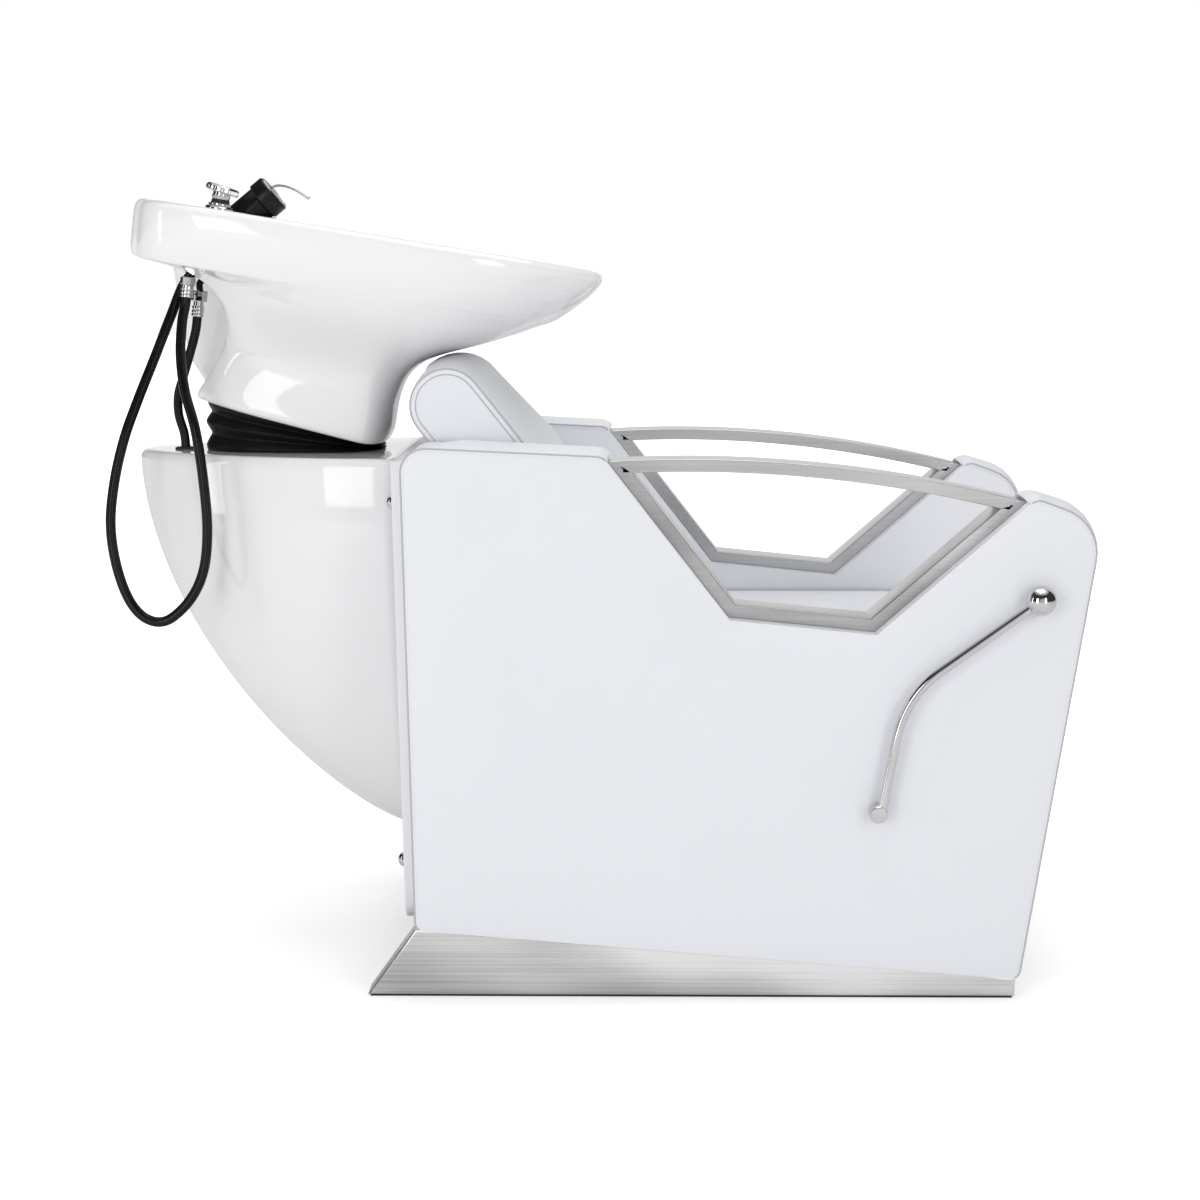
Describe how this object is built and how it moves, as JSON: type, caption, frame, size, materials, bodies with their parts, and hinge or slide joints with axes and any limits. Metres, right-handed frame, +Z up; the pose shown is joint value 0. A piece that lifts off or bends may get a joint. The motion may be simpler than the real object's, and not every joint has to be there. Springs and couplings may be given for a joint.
{
  "type": "salon shampoo station",
  "caption": "White salon shampoo station: armchair with steel-framed arms and side lever, tilting ceramic basin on a rounded pedestal, deck mixer, hand shower and looped hose.",
  "frame": {"origin": "on the floor, midway along the station's length and on the middle plane between its two side panels", "axes": "X runs from the basin towards the client's feet, Y from the client's right (lever side) to the left, Z up"},
  "size_m": [1.2458, 0.7, 1.0242],
  "materials": {
    "ceramic": "glossy white glaze",
    "shell_plastic": "glossy white moulded shell",
    "leatherette": "soft white leatherette with fine grain",
    "plate_white": "satin white",
    "stainless": "brushed along its length",
    "chrome": "polished",
    "hose_black": "smooth black",
    "gaiter_black": "folded black, soft sheen",
    "tap_black": "black satin",
    "frame_steel": "grey powder coat",
    "board": "plain plywood",
    "pipe_grey": "grey pipe",
    "foot_rubber": "matt black"
  },
  "bodies": {
    "chair": {"base_skirt_right": "stainless", "base_skirt_left": "stainless", "foot_strips": "foot_rubber", "base_frame": "frame_steel", "side_panel_right": "leatherette", "side_panel_left": "leatherette", "armrest_frame_right": "stainless", "armrest_frame_left": "stainless", "seat_frame": "board", "seat_cushion": "leatherette", "back_board": "board", "back_cushion": "leatherette", "rear_plate": "plate_white", "dome_screws": "chrome", "pedestal_shell": "shell_plastic", "shell_grommet": "foot_rubber", "tilt_bracket": "frame_steel", "tilt_pins": "frame_steel", "gaiter": "gaiter_black", "waste_pipe": "pipe_grey", "waste_hose": "hose_black", "supply_hose": "hose_black", "legrest_pins": "frame_steel", "lever_bush": "chrome"},
    "basin": {"basin": "ceramic", "basin_carrier": "frame_steel", "drain_strainer": "chrome", "drain_tail": "pipe_grey", "shower_guide": "chrome", "guide_nut": "chrome", "mixer_body": "tap_black", "mixer_nut": "chrome", "mixer_tails": "hose_black", "outlet_ferrule": "chrome", "supply_ferrule": "chrome", "shower_hose": "hose_black"},
    "shower": {"shower_grip": "chrome", "shower_head": "chrome"},
    "mixer_cap": {"mixer_cap": "tap_black"},
    "mixer_lever": {"mixer_lever": "chrome"},
    "legrest": {"legrest_board": "board", "legrest_pad": "leatherette", "legrest_arms": "frame_steel"},
    "lever": {"lever_shaft": "frame_steel", "lever_crank": "frame_steel", "lever_rod": "chrome", "lever_knob": "chrome"},
    "push_link": {"push_link": "frame_steel"}
  },
  "joints": [
    {"name": "basin_tilt", "type": "hinge", "parent": "chair", "child": "basin", "pos_m": [-0.3217, 0, 0.70145], "axis": [0, 1, 0], "range_deg": [-12, 0], "deforming": ["gaiter", "supply_hose", "waste_hose"]},
    {"name": "shower_lift", "type": "slide", "parent": "basin", "child": "shower", "axis": [0.1599, 0, 0.9871], "range_m": [0, 0.06]},
    {"name": "mixer_turn", "type": "hinge", "parent": "basin", "child": "mixer_cap", "pos_m": [-0.45648, 0.012, 0.98261], "axis": [0.7771, 0, 0.6293], "range_deg": [-40, 40]},
    {"name": "mixer_lift", "type": "hinge", "parent": "mixer_cap", "child": "mixer_lever", "pos_m": [-0.4385, 0.012, 1.0049], "axis": [0, -1, 0], "range_deg": [0, 20]},
    {"name": "legrest_swing", "type": "hinge", "parent": "chair", "child": "legrest", "pos_m": [0.556, 0, 0.35], "axis": [0, -1, 0], "range_deg": [0, 70]},
    {"name": "lever_turn", "type": "hinge", "parent": "chair", "child": "lever", "pos_m": [0.349, 0, 0.246], "axis": [0, -1, 0], "range_deg": [0, 70]},
    {"name": "link_turn", "type": "hinge", "parent": "legrest", "child": "push_link", "pos_m": [0.54768, 0, 0.29563], "axis": [0, -1, 0], "range_deg": [-70, 0]}
  ],
  "couplings": [
    {"joint": "lever_turn", "follows": "legrest_swing", "ratio": 1},
    {"joint": "link_turn", "follows": "legrest_swing", "ratio": -1}
  ]
}
